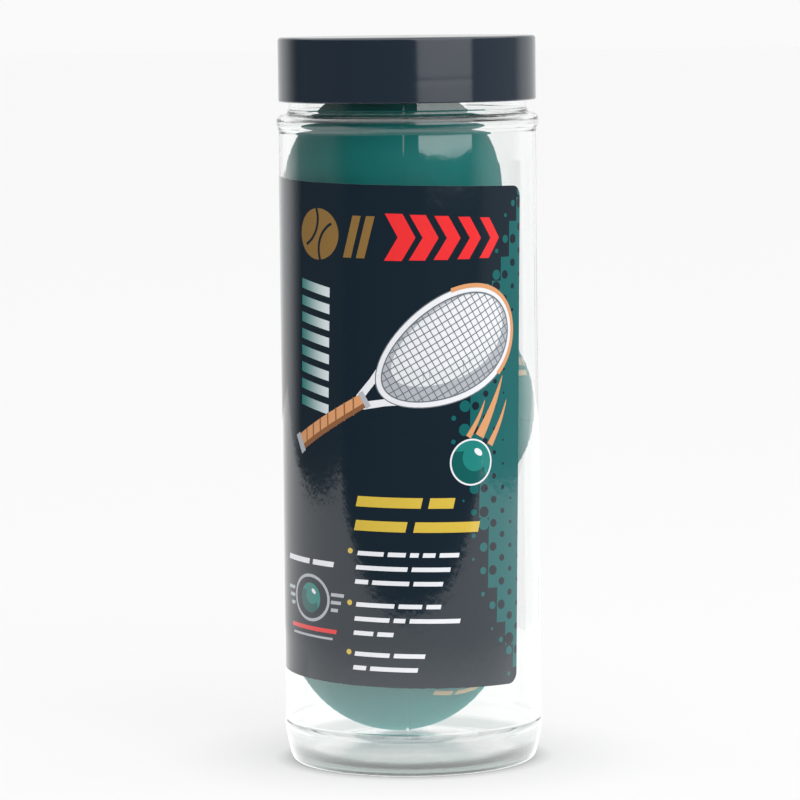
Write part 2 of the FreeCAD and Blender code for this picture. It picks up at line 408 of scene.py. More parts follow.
def threadTree():  # a trapezoid ridge swept up a helix, fading out at both ends
    tree, given = newTree("threadRidge", Radius=0.03, Pitch=0.004, Turns=1.5, Steps=120, Root_Width=0.0023,
                          Crest_Width=0.001, Depth=0.00125, Sunk=0.0002, Fade=0.06, Material=None)
    height = calc(tree, "MULTIPLY", given["Pitch"], given["Turns"])
    helix = addNode(tree, "GeometryNodeCurveSpiral", Resolution=given["Steps"], Rotations=given["Turns"],
                    Start_Radius=given["Radius"], End_Radius=given["Radius"], Height=height)
    upright = addNode(tree, "GeometryNodeSetCurveNormal", {"mode": "Z_UP"}, Curve=helix)
    along = addNode(tree, "GeometryNodeSplineParameter")
    toEnd = calc(tree, "MINIMUM", along, calc(tree, "SUBTRACT", 1.0, along))
    fade = smoothly(tree, toEnd, 0.0, given["Fade"], 0.02, 1.0)
    sized = addNode(tree, "GeometryNodeSetCurveRadius", Curve=upright, Radius=fade)
    outer = calc(tree, "ABSOLUTE", given["Depth"])
    section = addNode(tree, "GeometryNodeCurvePrimitiveQuadrilateral", {"mode": "TRAPEZOID"},
                      Bottom_Width=given["Root Width"], Top_Width=given["Crest Width"], Offset=0.0,
                      Height=calc(tree, "ADD", outer, given["Sunk"]))
    halfway = calc(tree, "MULTIPLY", calc(tree, "SUBTRACT", outer, given["Sunk"]), 0.5)
    sideways = calc(tree, "SIGN", given["Depth"])
    lift = addNode(tree, "CombineXYZ", Y=halfway)
    moved = addNode(tree, "GeometryNodeTransform", Geometry=section, Translation=lift)
    quarter = addNode(tree, "CombineXYZ", Z=calc(tree, "MULTIPLY", sideways, pi / 2))
    facing = addNode(tree, "GeometryNodeTransform", Geometry=moved, Rotation=quarter)
    swept = addNode(tree, "GeometryNodeCurveToMesh", Curve=sized, Profile_Curve=facing, Fill_Caps=True)
    endTree(tree, swept, given["Material"])
    return tree


thread = threadTree()

jar = {
    "panel": 33.6, "wall": 0.75, "shoulder": 34.17, "shoulderZ": 167.4, "footBead": 33.85, "footBeadZ": 10.0,
    "foot": 30.7, "land": 0.8, "heel": 7.8, "dome": 28.7, "domeUnderZ": 5.2, "domeTopZ": 7.1, "base": 1.1,
    "gate": 1.8, "gateLength": 1.2, "collar": 31.0, "collarTopZ": 175.0, "bore": 29.0, "neck": 29.95,
    "rimZ": 187.1, "columns": 240, "guard": 0.15, "longest": 9.0, "crease": 28, "hazeTop": 8.3,
    "partingAngle": -92.4, "partingHeight": 0.10, "partingWidth": 0.26, "partingFrom": 1.0,
}
ridge = {
    "pitch": 25.4 / 6, "rootWidth": 2.3, "crestWidth": 1.0, "sunk": 0.3, "steps": 100, "flankGap": 0.3,
    "neckDepth": 1.25, "neckTurns": 1.5, "neckFade": 0.05, "neckZ": 177.2, "lidDepth": -1.35,
    "lidTurns": 1.25, "lidFade": 0.06, "lidBore": 31.7,
}


def partingLines():
    return [(jar["partingAngle"] + turn) % 360 for turn in (0, 180)]


def jarColumns():  # even, and closer at the parting lines
    near = [-1.2, -0.55, -0.25, 0.0, 0.25, 0.55, 1.2]
    even = [a for a in evenly(jar["columns"]) if all(abs(a - line) > 1.6 for line in partingLines())]
    return sorted(even + [line + d for line in partingLines() for d in near])


def domeLine(top, edge, edgeZ, count):  # from the axis out to the edge
    drop = top - edgeZ
    bend = (edge ** 2 + drop ** 2) / (2 * drop)
    radii = [edge * i / count for i in range(count + 1)]
    return [(r, top - bend + sqrt(bend ** 2 - r ** 2)) for r in radii]


def jarOutline():
    j = jar
    r, top, beadZ, sz = j["panel"], j["shoulder"], j["footBeadZ"], j["shoulderZ"]
    neck, bore, collar, cz, rim = j["neck"], j["bore"], j["collar"], j["collarTopZ"], j["rimZ"]
    gateZ, guard, inner = j["domeUnderZ"] - j["gateLength"], j["guard"], r - j["wall"]
    outside = outline(
        (0.0, gateZ), (j["gate"] - 0.3, gateZ), (j["gate"], gateZ + 0.3), (j["gate"], j["domeUnderZ"] - 0.02),
        *domeLine(j["domeUnderZ"], j["dome"], j["base"], 12)[1:],
        ((29.15, 0.35), (j["foot"] - j["land"], 0.0)), (j["foot"], 0.0), ((31.6, 0.35), (32.1, 1.1)),
        ((33.0, 4.4), (r, j["heel"])), (r, beadZ - 1.1), ((j["footBead"], beadZ), (r, beadZ + 1.1)),
        (r, beadZ + 1.1 + guard), (r, sz - 2.3 - guard), (r, sz - 2.3),
        ((r + 0.09, sz - 1.7), (r + 0.32, sz - 1.15)), ((top, sz), (top - 0.12, sz + 1.15)),
        ((top - 0.55, sz + 1.8), (top - 1.4, sz + 2.2)), (collar + 1.2, sz + 2.4),
        ((collar + 0.55, sz + 2.6), (collar + 0.3, sz + 3.0)), (collar + 0.3, sz + 3.4), (collar, sz + 3.7),
        (collar, sz + 3.7 + guard), (collar, cz - 0.6 - guard), (collar, cz - 0.6),
        ((collar - 0.2, cz - 0.2), (collar - 0.6, cz)), (neck, cz + 0.3), (neck, rim - 0.25),
        (neck - 0.25, rim))
    within = outline(
        (bore + 0.2, rim), (bore, rim - 0.2), (bore, cz + 0.4 + guard), (bore, cz + 0.4),
        (bore + guard / 2, cz + 0.4 - guard), (bore + 1.0 - guard / 2, cz - 1.6 + guard),
        (bore + 1.0, cz - 1.6), (bore + 1.0, cz - 1.6 - guard), (bore + 1.0, sz + 3.4 + guard),
        (bore + 1.0, sz + 3.4),
        ((bore + 1.5, sz + 2.1), (bore + 2.7, sz + 1.6)),
        ((top - j["wall"] - 0.25, sz + 1.0), (top - j["wall"], sz)),
        ((inner + 0.2, sz - 1.6), (inner, sz - 2.5)), (inner, sz - 2.5 - guard),
        (inner, beadZ + 1.3 + guard), (inner, beadZ + 1.3),
        ((j["footBead"] - j["wall"], beadZ), (inner, beadZ - 1.3)), (inner, j["heel"]),
        ((inner - 0.65, 4.4), (31.2, 1.75)), ((30.2, j["base"]), (29.1, 1.6)),
        *domeLine(j["domeTopZ"], j["dome"] - 0.4, 2.3, 14)[::-1])
    return dense(outside, j["longest"]), dense(within, j["longest"])


def threaded(body, part, radius, up, around, material):  # joins a ridge to the wall behind it
    ridgeMesh = runTree(thread, Radius=radius * mm, Pitch=ridge["pitch"] * mm, Turns=ridge[part + "Turns"],
                        Steps=ridge["steps"], Root_Width=ridge["rootWidth"] * mm,
                        Crest_Width=ridge["crestWidth"] * mm, Depth=ridge[part + "Depth"] * mm,
                        Sunk=ridge["sunk"] * mm, Fade=ridge[part + "Fade"], Material=material)
    place = Matrix.Translation((0, 0, up * mm)) @ Matrix.Rotation(radians(around), 4, "Z")
    bmesh.ops.transform(ridgeMesh, matrix=place, verts=ridgeMesh.verts)
    holders = []
    for mesh in (body, ridgeMesh):
        cleaned(mesh)
        holders.append(linked(part, meshData(part, mesh)))
    union = holders[0].modifiers.new("join", "BOOLEAN")
    union.operation, union.solver, union.object = "UNION", "EXACT", holders[1]
    bpy.context.view_layer.update()
    joined = evaluated(holders[0])
    for holder in holders:
        bpy.data.objects.remove(holder)
    for face in joined.faces:
        face.material_index = 0
    return joined


def makeJar():
    outside, within = jarOutline()

    def parting(a, r, z, i):
        if i >= len(outside) or z < jar["partingFrom"] or z > jar["collarTopZ"] - 1 or r < jar["collar"]:
            return 0
        gap = min(abs((a - line + 180) % 360 - 180) for line in partingLines())
        height = min(jar["partingHeight"], max(0.0, jar["shoulder"] - r))  # none on the crest of the bead
        return height * exp(-(radians(gap) * r / jar["partingWidth"]) ** 2)

    body = turned(outside + within, jarColumns(), parting)
    joined = threaded(body, "neck", jar["neck"], ridge["neckZ"], 0, clear)
    for face in joined.faces:
        if face.calc_center_median().z < jar["hazeTop"] * mm:
            face.material_index = 1
    piece("can_jar", joined, clear, clearBase, body="can", slot="clear_jar", crease=jar["crease"],
          replaces=["jar"])


makeJar()
print("jar made")


lid = {"radius": 33.6, "bottomZ": 173.0, "topZ": 189.7, "topWall": 1.5, "edge": 0.8, "columns": 256,
       "sideStep": 0.42, "sinkDepth": 0.014, "sinkWidth": 0.8, "gate": 1.7, "gateDepth": 0.25}
liner = {"radius": 31.3, "bottomZ": 187.1, "topZ": 188.2, "round": 0.2, "columns": 144, "longest": 4.0}


def lidPhase():  # height and angle at which the lid's ridge starts
    below = (ridge["rootWidth"] + ridge["crestWidth"]) / 2 + ridge["flankGap"]
    lead = jar["collarTopZ"] + ridge["rootWidth"] / 2 + 0.5 - (ridge["neckZ"] - below)
    return ridge["neckZ"] - below + lead, 360 * lead / ridge["pitch"]


def makeLid():
    bore, low, high, e, r0 = ridge["lidBore"], lid["bottomZ"], lid["topZ"], lid["edge"], lid["radius"]
    under, gateZ = high - lid["topWall"], high - lid["gateDepth"]
    startZ, startAngle = lidPhase()
    inside = outline((0.0, under), (bore - 0.4, under), ((bore - 0.12, under - 0.12), (bore, under - 0.4)),
                     (bore, low + 0.8), (bore + 0.5, low), count=4)
    side = dense([(r0, low + 0.3), (r0, high - e)], lid["sideStep"])
    top = outline(side[-1], ((r0 - e * 0.293, high - e * 0.293), (r0 - e, high)), (lid["gate"], high),
                  (lid["gate"] - 0.2, gateZ), (0.0, gateZ))[1:]
    first = len(inside) + 1

    def sink(a, r, z, i):  # the shallow line left in the side by the ridge inside
        if not first <= i < first + len(side):
            return 0
        depth = 0
        for turn in (0, 1):
            share = ((a - startAngle) % 360 + 360 * turn) / 360
            if share <= ridge["lidTurns"]:
                fade = min(1, 8 * share, 8 * (ridge["lidTurns"] - share))
                depth += fade * exp(-((z - startZ - ridge["pitch"] * share) / lid["sinkWidth"]) ** 2)
        return -lid["sinkDepth"] * depth

    body = turned(inside + [(r0 - 0.3, low)] + side + top, evenly(lid["columns"]), sink)
    joined = threaded(body, "lid", bore, startZ, startAngle, lidBlack)
    piece("screw_lid", joined, lidBlack, body="lid", slot="lid_plastic", replaces=["lid"])


def makeLiner():
    r, e = liner["radius"], liner["round"]
    low, high = liner["bottomZ"], liner["topZ"]
    points = outline((0.0, low), (r - e, low), ((r - e * 0.3, low + e * 0.3), (r, low + e)), (r, high - e),
                     ((r - e * 0.3, high - e * 0.3), (r - e, high)), (0.0, high), count=3)
    mesh = turned(dense(points, liner["longest"]), evenly(liner["columns"]))
    piece("foam_liner", mesh, linerWhite, body="liner", slot="liner_foam", replaces=["lid_liner"])


makeLid()
makeLiner()
print("lid and liner made")


ball = {
    "radius": 28.575, "wall": 3.9, "seamChamfer": 0.16, "columns": 160, "outerSteps": 40, "innerSteps": 20,
    "centres": {"bottom": (-3.975, 35.906), "middle": (3.975, 92.803), "top": (-3.975, 149.701)},
    "tips": {"bottom": (8.0, -5.0), "middle": (-6.0, 9.0), "top": (4.0, 7.0)},
}


def quarterArc(radius, count):  # (radius times sine, radius times cosine)
    turns = [pi / 2 * i / count for i in range(count)]
    return [(radius * sin(t), radius * cos(t)) for t in turns]


def ballHalf(name, side):
    r, inner, c = ball["radius"], ball["radius"] - ball["wall"], ball["seamChamfer"]
    within = [(out, up) for up, out in quarterArc(inner, ball["innerSteps"])]
    points = quarterArc(r, ball["outerSteps"]) + [(r - 0.01, c), (r - c, 0.0)] + within + [(0.0, inner)]
    mesh = turned(points, evenly(ball["columns"]))
    tipX, tipY = ball["tips"][name]
    x, z = ball["centres"][name]
    flip = Matrix.Diagonal((1, 1, 1 if side == "upper" else -1, 1))
    place = (Matrix.Translation((x * mm, 0, z * mm)) @ Matrix.Rotation(radians(tipY), 4, "Y")
             @ Matrix.Rotation(radians(tipX), 4, "X") @ flip)
    bmesh.ops.transform(mesh, matrix=place, verts=mesh.verts)
    piece(f"{name}_ball_{side}_shell", mesh, rubber, body=f"{name}_ball", slot="ball_rubber",
          replaces=[f"{name}_ball_{side}_half"])


for name in ball["centres"]:
    for side in ("upper", "lower"):
        ballHalf(name, side)
print("balls made")


# skin is the film's back, layer each ink's height above the one below
label = {
    "skin": 33.62, "film": 0.12, "width": 147.0, "height": 128.8, "rightEdge": 55.3, "middleZ": 87.85,
    "tilt": 1.6, "corner": 3.0, "slice": 1.5, "layer": 0.008,
}
labelTilt = radians(label["tilt"])
labelMiddle = radians(label["rightEdge"]) * label["skin"] - label["width"] / 2


def wrapped(x, y, out):  # flat label (mm from its middle) to the can
    s = labelMiddle + x * cos(labelTilt) + y * sin(labelTilt)
    z = label["middleZ"] - labelMiddle * tan(labelTilt) - x * sin(labelTilt) + y * cos(labelTilt)
    a = s / label["skin"] - pi / 2
    r = label["skin"] + out
    return Vector((r * cos(a), r * sin(a), z)) * mm


def cutAt(mesh, point, normal, **settings):
    everything = mesh.verts[:] + mesh.edges[:] + mesh.faces[:]
    bmesh.ops.bisect_plane(mesh, geom=everything, plane_co=point, plane_no=normal, dist=1e-5, **settings)


def sliced(mesh, step, axis=0):  # cuts a flat mesh into strips that can bend
    across = Vector((1 - axis, axis, 0))
    places = [v.co[axis] for v in mesh.verts]
    cut = ceil(min(places) / step) * step
    while cut < max(places):
        cutAt(mesh, across * cut, across)
        cut += step


def thickened(mesh, base, thickness):  # flat faces to a closed plate
    for v in mesh.verts:
        v.co.z = base
    bmesh.ops.recalc_face_normals(mesh, faces=mesh.faces)
    if mesh.faces and mesh.faces[:][0].normal.z > 0:
        bmesh.ops.reverse_faces(mesh, faces=mesh.faces)
    grown = bmesh.ops.extrude_face_region(mesh, geom=mesh.faces[:])
    for v in (g for g in grown["geom"] if isinstance(g, bmesh.types.BMVert)):
        v.co.z = base + thickness


def curve(x, y, radius, first, last, count):
    steps = [radians(first + (last - first) * i / count) for i in range(count + 1)]
    return [(x + radius * cos(a), y + radius * sin(a)) for a in steps]


def roundedRect(x0, y0, x1, y1, corner):
    points = []
    for x, y, first in ((x1 - corner, y1 - corner, 0), (x0 + corner, y1 - corner, 90),
                        (x0 + corner, y0 + corner, 180), (x1 - corner, y0 + corner, 270)):
        points += curve(x, y, corner, first, first + 90, 6)
    return points


def flatShapes(*polygons):
    mesh = bmesh.new()
    for points in polygons:
        mesh.faces.new([mesh.verts.new((x, y, 0)) for x, y in points])
    return mesh


def makeLabel():
    w, h = label["width"] / 2, label["height"] / 2
    mesh = flatShapes(roundedRect(-w, -h, w, h, label["corner"]))
    sliced(mesh, label["slice"])
    thickened(mesh, 0, label["film"])
    for face in mesh.faces:
        face.material_index = 0 if all(v.co.z > 1e-6 for v in face.verts) else 1
    for v in mesh.verts:
        v.co = wrapped(*v.co)
    piece("wrap_label", mesh, navyFilm, filmBack, body="can", slot="label_film", replaces=["label"])


makeLabel()
print("label film made")


# edge is (height, x) pairs in mm, tone is (share of the way in, share of ink) pairs
halftone = {
    "grid": {"Gap": 3.04, "Left": 49.0, "Columns": 9, "Rows": 43, "Middle_Y": -0.9, "Tone_Width": 20.0},
    "edgeRange": (40.0, 80.0), "smallest": 0.012, "sides": 16,
    "edge": [
        (-64.4, 69.5), (-52.0, 64.2), (-43.0, 60.0), (-34.0, 57.3), (-28.0, 56.5), (-16.0, 54.1),
        (-4.0, 50.2), (10.0, 50.0), (25.0, 53.0), (36.0, 56.5), (45.0, 61.0), (57.0, 65.6), (64.4, 69.5)],
    "tone": [
        (0.0, 0.0), (0.05, 0.02), (0.2, 0.18), (0.275, 0.45), (0.35, 0.74), (0.5, 0.85), (0.65, 0.925),
        (0.825, 0.98), (1.0, 0.995)],
}


def curveNode(tree, value, points):
    made = addNode(tree, "FloatCurve", Value=value)
    line = made.mapping.curves[0]
    for i, (x, y) in enumerate(points):
        if i < len(line.points):
            line.points[i].location = (x, y)
        else:
            line.points.new(x, y)
    made.mapping.update()
    return made


def halftoneTree():  # dots on a diagonal screen that grow with the tone, or the full cells where it is dark
    tree, given = newTree("halftone", Gap=3.05, Columns=12, Rows=43, Left=49.0, Middle_Y=0.0, Tone_Width=20.0,
                          Odd=0.0, Invert=0.0, Cells=False, Material=None)

    def op(operation, a, b=0.0):
        return calc(tree, operation, a, b)

    def scattered(shape, where, **inputs):
        return addNode(tree, "GeometryNodeInstanceOnPoints", Points=placed, Selection=where, Instance=shape,
                       **inputs)

    gap, left = given["Gap"], given["Left"]
    wide, tall = (op("MULTIPLY", op("SUBTRACT", given[name], 1.0), gap) for name in ("Columns", "Rows"))
    grid = addNode(tree, "GeometryNodeMeshGrid", Size_X=wide, Size_Y=tall, Vertices_X=given["Columns"],
                   Vertices_Y=given["Rows"])
    middle = op("ADD", left, op("MULTIPLY", wide, 0.5))
    shift = addNode(tree, "CombineXYZ", X=middle, Y=given["Middle Y"])
    placed = addNode(tree, "GeometryNodeTransform", Geometry=grid, Translation=shift)
    here = addNode(tree, "GeometryNodeInputPosition")
    x, y = addNode(tree, "SeparateXYZ", Vector=here).outputs[:2]
    low, high = halftone["edge"][0][0], halftone["edge"][-1][0]
    near, far = halftone["edgeRange"]
    edge = curveNode(tree, between(tree, y, 0.0, 1.0, low, high),
                     [((up - low) / (high - low), (at - near) / (far - near)) for up, at in halftone["edge"]])
    share = op("DIVIDE", op("SUBTRACT", x, between(tree, edge, near, far)), given["Tone Width"])
    tone = curveNode(tree, addNode(tree, "Clamp", Value=share), halftone["tone"])
    flipped = op("ABSOLUTE", op("SUBTRACT", tone, given["Invert"]))
    column = op("ROUND", op("DIVIDE", op("SUBTRACT", x, left), gap))
    row = op("ROUND", op("DIVIDE", op("ADD", y, 200.0), gap))  # 200 keeps it above zero
    parity = op("PINGPONG", op("ADD", op("ADD", column, row), given["Odd"]), 1.0)
    inked = op("MULTIPLY", op("GREATER_THAN", flipped, halftone["smallest"]), op("LESS_THAN", flipped, 0.5))
    size = op("MULTIPLY", op("SQRT", op("MULTIPLY", flipped, 2 / pi)), gap)
    dot = addNode(tree, "GeometryNodeMeshCircle", {"fill_type": "NGON"}, Vertices=halftone["sides"])
    cell = addNode(tree, "GeometryNodeMeshGrid", Size_X=gap, Size_Y=gap, Vertices_X=2, Vertices_Y=2)
    dots = scattered(dot, op("MULTIPLY", op("LESS_THAN", parity, 0.5), inked), Scale=size)
    cells = scattered(cell, op("GREATER_THAN", tone, 0.5))
    pick = addNode(tree, "GeometryNodeSwitch", {"input_type": "GEOMETRY"}, i0=given["Cells"], i1=dots,
                   i2=cells)
    endTree(tree, pick, given["Material"])
    return tree


def flatHalftone(flipped, cells):
    mesh = runTree(halftoneNodes, **halftone["grid"], Odd=float(flipped), Invert=float(flipped), Cells=cells)
    bmesh.ops.remove_doubles(mesh, verts=mesh.verts, dist=1e-4)
    return mesh


def trimmed(mesh, corners):  # keeps what lies inside a convex outline that runs anticlockwise
    for i, (x, y) in enumerate(corners):
        nextX, nextY = corners[(i + 1) % len(corners)]
        outward = (nextY - y, x - nextX, 0)
        if hypot(*outward) > 1e-6:
            cutAt(mesh, (x, y, 0), outward, clear_outer=True)


def printed(name, colour, mesh, layer, place=wrapped, base=label["film"], body="can", slot="label_film"):
    bmesh.ops.remove_doubles(mesh, verts=mesh.verts, dist=1e-4)
    if body == "can":
        sliced(mesh, label["slice"])
    thickened(mesh, base + label["layer"] * (layer - 1.5), label["layer"] * 1.5)
    for v in mesh.verts:
        v.co = place(*v.co)
    piece(name, mesh, inks[colour], body=body, slot=slot)


def disc(cx, cy, rx, ry, count, turn=0.0, squeeze=0.0):
    points = []
    for i in range(count):
        t = tau * i / count
        u, v = rx * cos(t), ry * sin(t) * (1 + squeeze * cos(t))
        points.append((cx + u * cos(turn) - v * sin(turn), cy + u * sin(turn) + v * cos(turn)))
    return points


def ring(outer, inner, places=None):  # quads between two outlines, all the way round or at some places
    n = len(outer)
    return [[outer[i], outer[(i + 1) % n], inner[(i + 1) % n], inner[i]] for i in places or range(n)]


def band(points, widths):  # a ribbon along a line, as quads
    sides = []
    for i, (x, y) in enumerate(points):
        ax, ay = points[max(i - 1, 0)]
        bx, by = points[min(i + 1, len(points) - 1)]
        length = hypot(bx - ax, by - ay)
        nx, ny = (ay - by) / length * widths[i] / 2, (bx - ax) / length * widths[i] / 2
        sides.append(((x + nx, y + ny), (x - nx, y - ny)))
    return [[a[0], a[1], b[1], b[0]] for a, b in zip(sides, sides[1:])]


def stroke(points, width):
    return band(points, [width] * len(points))


def slantBar(x0, x1, y0, y1, slant=0.2):  # slant is the lean for each mm of height
    lean = slant * (y1 - y0)
    return [(x0, y0), (x1, y0), (x1 + lean, y1), (x0 + lean, y1)]


def chevron(x, y0, y1, width, tip):  # two convex halves, pointing to +x
    ym = (y0 + y1) / 2
    return [[(x, y0), (x + width, y0), (x + width + tip, ym), (x + tip, ym)],
            [(x + tip, ym), (x + width + tip, ym), (x + width, y1), (x, y1)]]


def wordBars(x, y, words, height, gap):  # plain bars, each as long as a word
    bars = []
    for length in words:
        bars.append(slantBar(x, x + length, y, y + height))
        x += length + gap
    return bars


racquet = {
    "middle": (50.5, 22.5), "long": 21.0, "wide": 13.2, "turn": 31.0, "squeeze": 0.17, "rim": 1.7,
    "edgeLine": 0.18, "guard": 0.55, "stringGap": 1.75, "string": 0.26, "strings": 12, "gripFrom": 25.5,
    "gripTo": 49.0, "gripWide": 4.3, "wrapGap": 3.0, "wrap": 0.4,
}


def inRacquet(u, v):  # u runs along the handle, away from it
    t = radians(racquet["turn"])
    x, y = racquet["middle"]
    return x + u * cos(t) - v * sin(t), y + u * sin(t) + v * cos(t)


def racquetPrint():  # rows of (name, colour, polygons, layer)
    q = racquet
    turn, squeeze = radians(q["turn"]), q["squeeze"]
    a, b, rim, line = q["long"], q["wide"], q["rim"], q["edgeLine"]
    ai, bi, w, g, end = a - rim, b - rim, q["gripWide"] / 2, -q["gripFrom"], -q["gripTo"]

    def path(*points):
        return [inRacquet(u, v) for u, v in points]

    def egg(grow, count=64, u=0.0, v=0.0):
        return disc(*inRacquet(u, v), a + grow, b + grow, count, turn, squeeze)

    def halfWidth(u):
        return bi * sqrt(max(0.0, 1 - (u / ai) ** 2)) * (1 + squeeze * u / ai)

    strings = []
    for k in range(-q["strings"], q["strings"] + 1):
        place = k * q["stringGap"]
        if halfWidth(place) > 1:
            strings += stroke(path((place, -halfWidth(place)), (place, halfWidth(place))), q["string"])
        run = [i * 0.1 for i in range(int(-ai * 10), int(ai * 10) + 1) if halfWidth(i * 0.1) > abs(place)]
        if len(run) > 20:
            strings += stroke(path((run[0], place), (run[-1], place)), q["string"])
    throat = []
    for side in (-1, 1):
        arm = path((-a * 0.84, side * b * 0.36), (-a * 1.0, side * b * 0.24), (g - 1, side * w * 0.5))
        throat += band(arm, [1.9, 1.8, 2.0])
    wraps, place = [], g - 2.2
    while place > end + 2.6:
        wraps += stroke(path((place, w * 0.98), (place - 2.3, -w * 0.98)), q["wrap"])
        place -= q["wrapGap"]
    return [
        ("racquet_bed", "silver", [egg(-rim)], 3),
        ("racquet_bed_light", "pearl", [egg(-rim - 2.2, 56, 1.3, 1.5)], 4),
        ("racquet_bed_bright", "white", [egg(-rim - 4.4, 48, 3.0, 2.8)], 5),
        ("racquet_frame", "white", ring(egg(0), egg(-rim)) + throat, 6),
        ("racquet_strings", "steel",
         strings + ring(egg(-rim + line), egg(-rim - line)) + ring(egg(0.12), egg(-0.16)), 7),
        ("racquet_guard", "tan", ring(egg(q["guard"], 96), egg(-q["guard"], 96), range(-17, 18)), 8),
        ("grip", "tan", [path((g, -w * 0.86), (g, w * 0.86), (end, w), (end, -w))], 7),
        ("grip_shade", "brown",
         [path((g, -w * 0.86), (g, -w * 0.3), (end, -w * 0.36), (end, -w))] + wraps, 8),
        ("butt", "silver", [
            path((end, -w * 1.2), (end, w * 1.2), (end - 2.0, w * 1.25), (end - 2.0, -w * 1.25)),
            path((g + 0.9, -w * 1.02), (g + 0.9, w * 1.02), (g - 0.5, w * 1.02), (g - 0.5, -w * 1.02))], 9),
    ]


def ballPrint(x, y, r):
    edge = curve(x, y, r, 150, 320, 20)
    inner = [(x + (px - x) * 0.62 + r * 0.16, y + (py - y) * 0.62 + r * 0.2) for px, py in edge]
    whole, rim = disc(x, y, r, r, 40), disc(x, y, r * 1.08, r * 1.08, 40)
    return {"ball": [whole], "rim": ring(rim, whole), "shade": ring(edge, inner, range(20)),
            "glint": [disc(x + r * 0.34, y + r * 0.46, r * 0.24, r * 0.14, 16, -0.6)]}


# balls as (x, y, radius) and words as their lengths, all in mm from the label's middle
art = {
    "flyingBall": (57.2, -6.2, 5.6), "badgeBall": (12.0, -43.2, 3.9), "titleBall": (14.2, 51.2, 6.6),
    "streaks": [(-3.6, 9.5, 1.5), (0.0, 15.5, 2.6), (3.6, 11.5, 1.7)],  # aside, length, width
    "arrows": 5, "dashes": 8, "headingHeight": 2.7, "lineHeight": 1.15, "courtLine": (0.6, 0.5, 0.4),
    "headings": [(26.8, -18.0, (17.0, 6.6), 1.9), (26.4, -24.2, (13.6, 17.4), 2.0)],
    "lines": [
        (27.4, -30.6, (7.0, 4.6, 2.2, 3.2, 5.2)), (27.0, -34.3, (13.6, 10.0)), (26.8, -38.0, (3.6, 9.6, 7.6)),
        (27.2, -43.9, (10.2, 6.0, 3.8)), (26.8, -47.6, (9.4, 3.0, 13.2)), (26.6, -51.3, (5.4, 4.2)),
        (27.0, -56.7, (9.4, 8.0)), (26.6, -60.3, (3.6, 12.4))],
    "backLines": [(9, 5, 8), (6, 11, 4), (12, 7), (5, 8, 7), (7, 4, 6), (10, 9), (4, 6, 9), (8, 5)],
    "panel": (-40.0, -58.0, -12.0, -40.0, 1.2),
    "panelBars": [  # width, gap
        (0.9, 0.5), (0.4, 0.7), (1.3, 0.4), (0.4, 0.4), (0.8, 0.9), (0.4, 0.5), (1.6, 0.4), (0.4, 0.8),
        (0.9, 0.4), (0.4, 0.4), (1.2, 0.7), (0.5, 0.5), (0.4, 0.9), (1.5, 0.4), (0.4, 0.5), (0.8, 0.6),
        (0.4, 0.4), (1.1, 0.5)],
}


